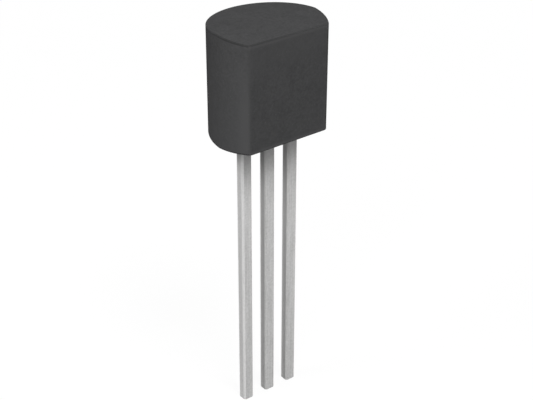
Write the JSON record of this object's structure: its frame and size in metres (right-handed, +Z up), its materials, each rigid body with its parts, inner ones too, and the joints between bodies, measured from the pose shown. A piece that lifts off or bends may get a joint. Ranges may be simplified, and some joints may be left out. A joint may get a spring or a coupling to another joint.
{
  "type": "transistor",
  "caption": "Small through-hole transistor: a dark moulded D-shaped body with a flat front face and a row of long straight square leads below it.",
  "frame": {"origin": "where the middle lead's axis crosses the underside of the body, on the parting line", "axes": "+Z up from the leads into the body, +X along the row of leads to the right as the flat face is seen, -Y out of the flat face"},
  "size_m": [0.0052, 0.0042, 0.0193],
  "materials": {
    "epoxy": "fine matte moulding compound",
    "tinned_lead": "satin tin plate",
    "die_attach": "silver-filled adhesive",
    "silicon": "polished silicon",
    "gold_wire": "bright drawn gold"
  },
  "bodies": {
    "root": {"moulded_body": "epoxy", "emitter_lead": "tinned_lead", "collector_lead": "tinned_lead", "base_lead": "tinned_lead", "die_attach": "die_attach", "silicon_die": "silicon", "emitter_wire": "gold_wire", "base_wire": "gold_wire"}
  },
  "joints": []
}
